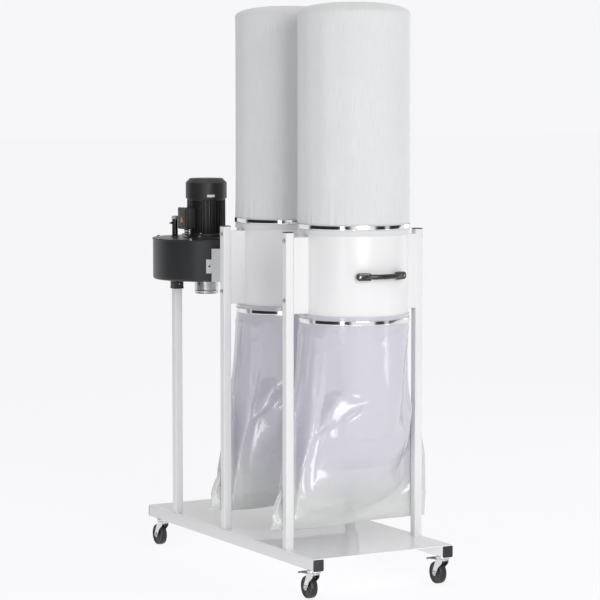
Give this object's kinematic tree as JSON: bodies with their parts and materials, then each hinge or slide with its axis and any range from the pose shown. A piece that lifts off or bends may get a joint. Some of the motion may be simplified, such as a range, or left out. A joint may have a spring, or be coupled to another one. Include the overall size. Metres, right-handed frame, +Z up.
{
  "type": "dust collector",
  "caption": "Mobile twin-bag dust collector: drums in line with felt filter bags above and clear dust bags below, a vertical-motor fan at the rear corner, on a wheeled frame.",
  "frame": {"origin": "middle of the bounding box on the floor plane under the wheels", "axes": "+Z up, front with the handle faces -Y, +X to the right of a person facing the back from the front"},
  "size_m": [0.821, 1.638, 2.577],
  "materials": {
    "frame_paint": "satin white powder coat",
    "deck_paint": "gloss white sheet",
    "black_plastic": "moulded black plastic",
    "bolt_zinc": "bright zinc plate",
    "drum_paint": "smooth white paint",
    "duct_sheet": "light grey sheet metal",
    "band_chrome": "polished",
    "filter_felt": "needle felt",
    "dust_film": "clear film",
    "fan_paint": "satin charcoal paint",
    "galvanised": "galvanised",
    "rotor_alloy": "cast",
    "bearing_steel": "ground",
    "gland_nickel": "nickel plate",
    "caster_chrome": "bright plate",
    "wheel_rubber": "black",
    "pedal_steel": "grey plated"
  },
  "bodies": {
    "frame": {"left_rail": "frame_paint", "right_rail": "frame_paint", "cross_tubes": "frame_paint", "post_front_left": "frame_paint", "post_front_right": "frame_paint", "post_mid_left": "frame_paint", "post_mid_right": "frame_paint", "fan_post": "frame_paint", "deck_sheet": "deck_paint", "rail_end_caps": "black_plastic", "post_caps": "black_plastic", "handle_lugs": "black_plastic", "handle_bar": "black_plastic", "post_socket": "black_plastic", "power_inlet": "black_plastic", "frame_bolts": "bolt_zinc", "cover_bolts": "bolt_zinc", "front_drum": "drum_paint", "rear_drum": "drum_paint", "drum_brackets": "drum_paint", "link_duct": "duct_sheet", "inlet_duct": "duct_sheet", "front_upper_band": "band_chrome", "front_lower_band": "band_chrome", "rear_upper_band": "band_chrome", "rear_lower_band": "band_chrome", "front_filter_bag": "filter_felt", "rear_filter_bag": "filter_felt", "front_dust_bag": "dust_film", "rear_dust_bag": "dust_film", "fan_housing": "fan_paint", "housing_cover": "fan_paint", "motor_body": "fan_paint", "motor_cowl": "fan_paint", "terminal_box": "fan_paint", "inlet_spigot": "galvanised", "shaft_bearings": "bearing_steel", "cable_glands": "gland_nickel", "caster_mounts": "caster_chrome"},
    "rotor": {"impeller": "rotor_alloy", "motor_shaft": "bearing_steel", "cooling_fan": "black_plastic"},
    "front_upper_latch": {"front_upper_latch": "band_chrome"},
    "front_lower_latch": {"front_lower_latch": "band_chrome"},
    "rear_upper_latch": {"rear_upper_latch": "band_chrome"},
    "rear_lower_latch": {"rear_lower_latch": "band_chrome"},
    "caster_front_left": {"fork_front_left": "caster_chrome", "axle_front_left": "bolt_zinc"},
    "wheel_front_left": {"wheel_front_left": "wheel_rubber"},
    "caster_front_right": {"fork_front_right": "caster_chrome", "axle_front_right": "bolt_zinc"},
    "wheel_front_right": {"wheel_front_right": "wheel_rubber"},
    "caster_rear_left": {"fork_rear_left": "caster_chrome", "axle_rear_left": "bolt_zinc"},
    "wheel_rear_left": {"wheel_rear_left": "wheel_rubber"},
    "caster_rear_right": {"fork_rear_right": "caster_chrome", "axle_rear_right": "bolt_zinc"},
    "wheel_rear_right": {"wheel_rear_right": "wheel_rubber"},
    "pedal_front_left": {"pedal_front_left": "pedal_steel"},
    "pedal_front_right": {"pedal_front_right": "pedal_steel"}
  },
  "joints": [
    {"name": "rotor_spin", "type": "hinge", "parent": "frame", "child": "rotor", "pos_m": [-0.1565, 0.549, 1.4], "axis": [0, 0, 1], "continuous": true},
    {"name": "front_upper_latch_turn", "type": "hinge", "parent": "frame", "child": "front_upper_latch", "pos_m": [0.20819, -0.35841, 1.6], "axis": [0, 0, 1], "range_deg": [0, 95]},
    {"name": "front_lower_latch_turn", "type": "hinge", "parent": "frame", "child": "front_lower_latch", "pos_m": [0.20574, -0.36013, 1.187], "axis": [0, 0, 1], "range_deg": [0, 95]},
    {"name": "rear_upper_latch_turn", "type": "hinge", "parent": "frame", "child": "rear_upper_latch", "pos_m": [0.20819, 0.22659, 1.6], "axis": [0, 0, 1], "range_deg": [0, 95]},
    {"name": "rear_lower_latch_turn", "type": "hinge", "parent": "frame", "child": "rear_lower_latch", "pos_m": [0.20574, 0.22487, 1.187], "axis": [0, 0, 1], "range_deg": [0, 95]},
    {"name": "swivel_front_left", "type": "hinge", "parent": "frame", "child": "caster_front_left", "pos_m": [-0.3125, -0.759, 0.118], "axis": [0, 0, 1], "continuous": true},
    {"name": "roll_front_left", "type": "hinge", "parent": "caster_front_left", "child": "wheel_front_left", "pos_m": [-0.3125, -0.717, 0.05], "axis": [1, 0, 0], "continuous": true},
    {"name": "brake_front_left", "type": "hinge", "parent": "caster_front_left", "child": "pedal_front_left", "pos_m": [-0.3125, -0.735, 0.109], "axis": [1, 0, 0], "range_deg": [-6, 0]},
    {"name": "swivel_front_right", "type": "hinge", "parent": "frame", "child": "caster_front_right", "pos_m": [0.3475, -0.759, 0.118], "axis": [0, 0, 1], "continuous": true},
    {"name": "roll_front_right", "type": "hinge", "parent": "caster_front_right", "child": "wheel_front_right", "pos_m": [0.3475, -0.717, 0.05], "axis": [1, 0, 0], "continuous": true},
    {"name": "brake_front_right", "type": "hinge", "parent": "caster_front_right", "child": "pedal_front_right", "pos_m": [0.3475, -0.735, 0.109], "axis": [1, 0, 0], "range_deg": [-6, 0]},
    {"name": "swivel_rear_left", "type": "hinge", "parent": "frame", "child": "caster_rear_left", "pos_m": [-0.3125, 0.707, 0.118], "axis": [0, 0, 1], "continuous": true},
    {"name": "roll_rear_left", "type": "hinge", "parent": "caster_rear_left", "child": "wheel_rear_left", "pos_m": [-0.3125, 0.749, 0.05], "axis": [1, 0, 0], "continuous": true},
    {"name": "swivel_rear_right", "type": "hinge", "parent": "frame", "child": "caster_rear_right", "pos_m": [0.3475, 0.707, 0.118], "axis": [0, 0, 1], "continuous": true},
    {"name": "roll_rear_right", "type": "hinge", "parent": "caster_rear_right", "child": "wheel_rear_right", "pos_m": [0.3475, 0.749, 0.05], "axis": [1, 0, 0], "continuous": true}
  ]
}
